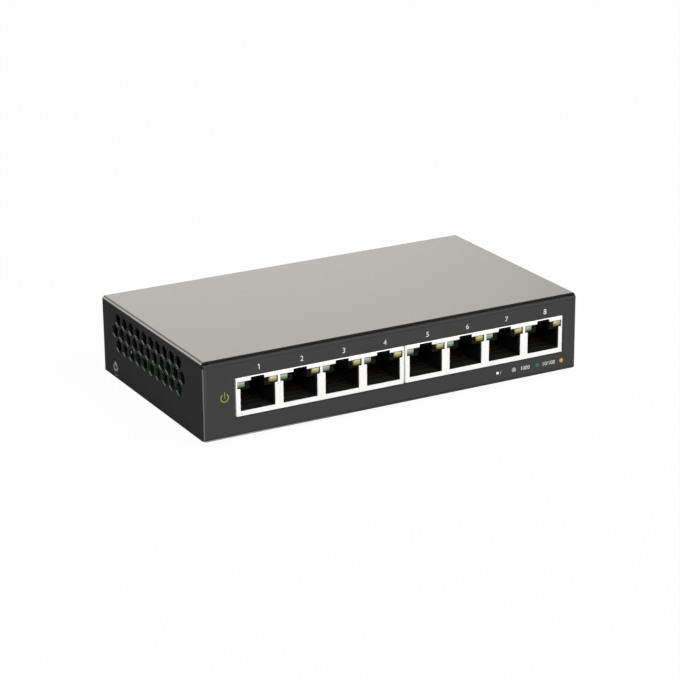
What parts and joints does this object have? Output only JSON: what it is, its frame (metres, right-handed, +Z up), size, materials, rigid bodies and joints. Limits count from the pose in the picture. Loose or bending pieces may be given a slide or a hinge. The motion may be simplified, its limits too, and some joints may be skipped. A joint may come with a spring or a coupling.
{
  "type": "desktop network switch",
  "caption": "Desktop network switch in a low folded steel case with honeycomb side vents, a front row of shielded network jacks with light windows, rear power inlet and reset button.",
  "frame": {"origin": "middle of the footprint, at the underside of the feet", "axes": "+X along the width towards the highest-numbered port, the ports face -Y, +Z up"},
  "size_m": [0.145, 0.0818, 0.0293],
  "materials": {
    "painted_steel": "dark grey satin paint",
    "plated_steel": "bright tin plate",
    "black_plastic": "moulded",
    "gold_plate": "plated, bright",
    "green_lens": "translucent",
    "amber_lens": "translucent",
    "green_board": "solder mask",
    "chip_epoxy": "moulded",
    "aluminium": "extruded",
    "ferrite": "matt ceramic",
    "capacitor_sleeve": "plastic sleeve over a can",
    "screw_steel": "dark zinc",
    "rubber": "matt"
  },
  "bodies": {
    "case": {"amber_light_1": "amber_lens", "amber_light_2": "amber_lens", "amber_light_3": "amber_lens", "amber_light_4": "amber_lens", "amber_light_5": "amber_lens", "amber_light_6": "amber_lens", "amber_light_7": "amber_lens", "amber_light_8": "amber_lens", "board_screw_1": "screw_steel", "board_screw_2": "screw_steel", "board_screw_3": "screw_steel", "board_screw_4": "screw_steel", "capacitor_1": "capacitor_sleeve", "capacitor_2": "capacitor_sleeve", "chassis": "painted_steel", "circuit_board": "green_board", "cover_screw_left": "screw_steel", "cover_screw_right": "screw_steel", "crystal": "aluminium", "flash_memory": "chip_epoxy", "foot_front_left": "rubber", "foot_front_right": "rubber", "foot_rear_left": "rubber", "foot_rear_right": "rubber", "green_light_1": "green_lens", "green_light_2": "green_lens", "green_light_3": "green_lens", "green_light_4": "green_lens", "green_light_5": "green_lens", "green_light_6": "green_lens", "green_light_7": "green_lens", "green_light_8": "green_lens", "heatsink": "aluminium", "jack_housing_left": "black_plastic", "jack_housing_right": "black_plastic", "jack_shield_left": "plated_steel", "jack_shield_right": "plated_steel", "port_contacts_1": "gold_plate", "port_contacts_2": "gold_plate", "port_contacts_3": "gold_plate", "port_contacts_4": "gold_plate", "port_contacts_5": "gold_plate", "port_contacts_6": "gold_plate", "port_contacts_7": "gold_plate", "port_contacts_8": "gold_plate", "power_inductor": "ferrite", "power_inlet": "black_plastic", "power_inlet_pin": "plated_steel", "reset_switch": "black_plastic", "switch_chip": "chip_epoxy", "top_cover": "painted_steel", "transformer_1": "chip_epoxy", "transformer_2": "chip_epoxy", "transformer_3": "chip_epoxy", "transformer_4": "chip_epoxy"},
    "reset_plunger": {"reset_plunger": "black_plastic"}
  },
  "joints": [
    {"name": "reset_press", "type": "slide", "parent": "case", "child": "reset_plunger", "axis": [0, -1, 0], "range_m": [0, 0.00025], "stiffness_N_per_m": 3000}
  ]
}
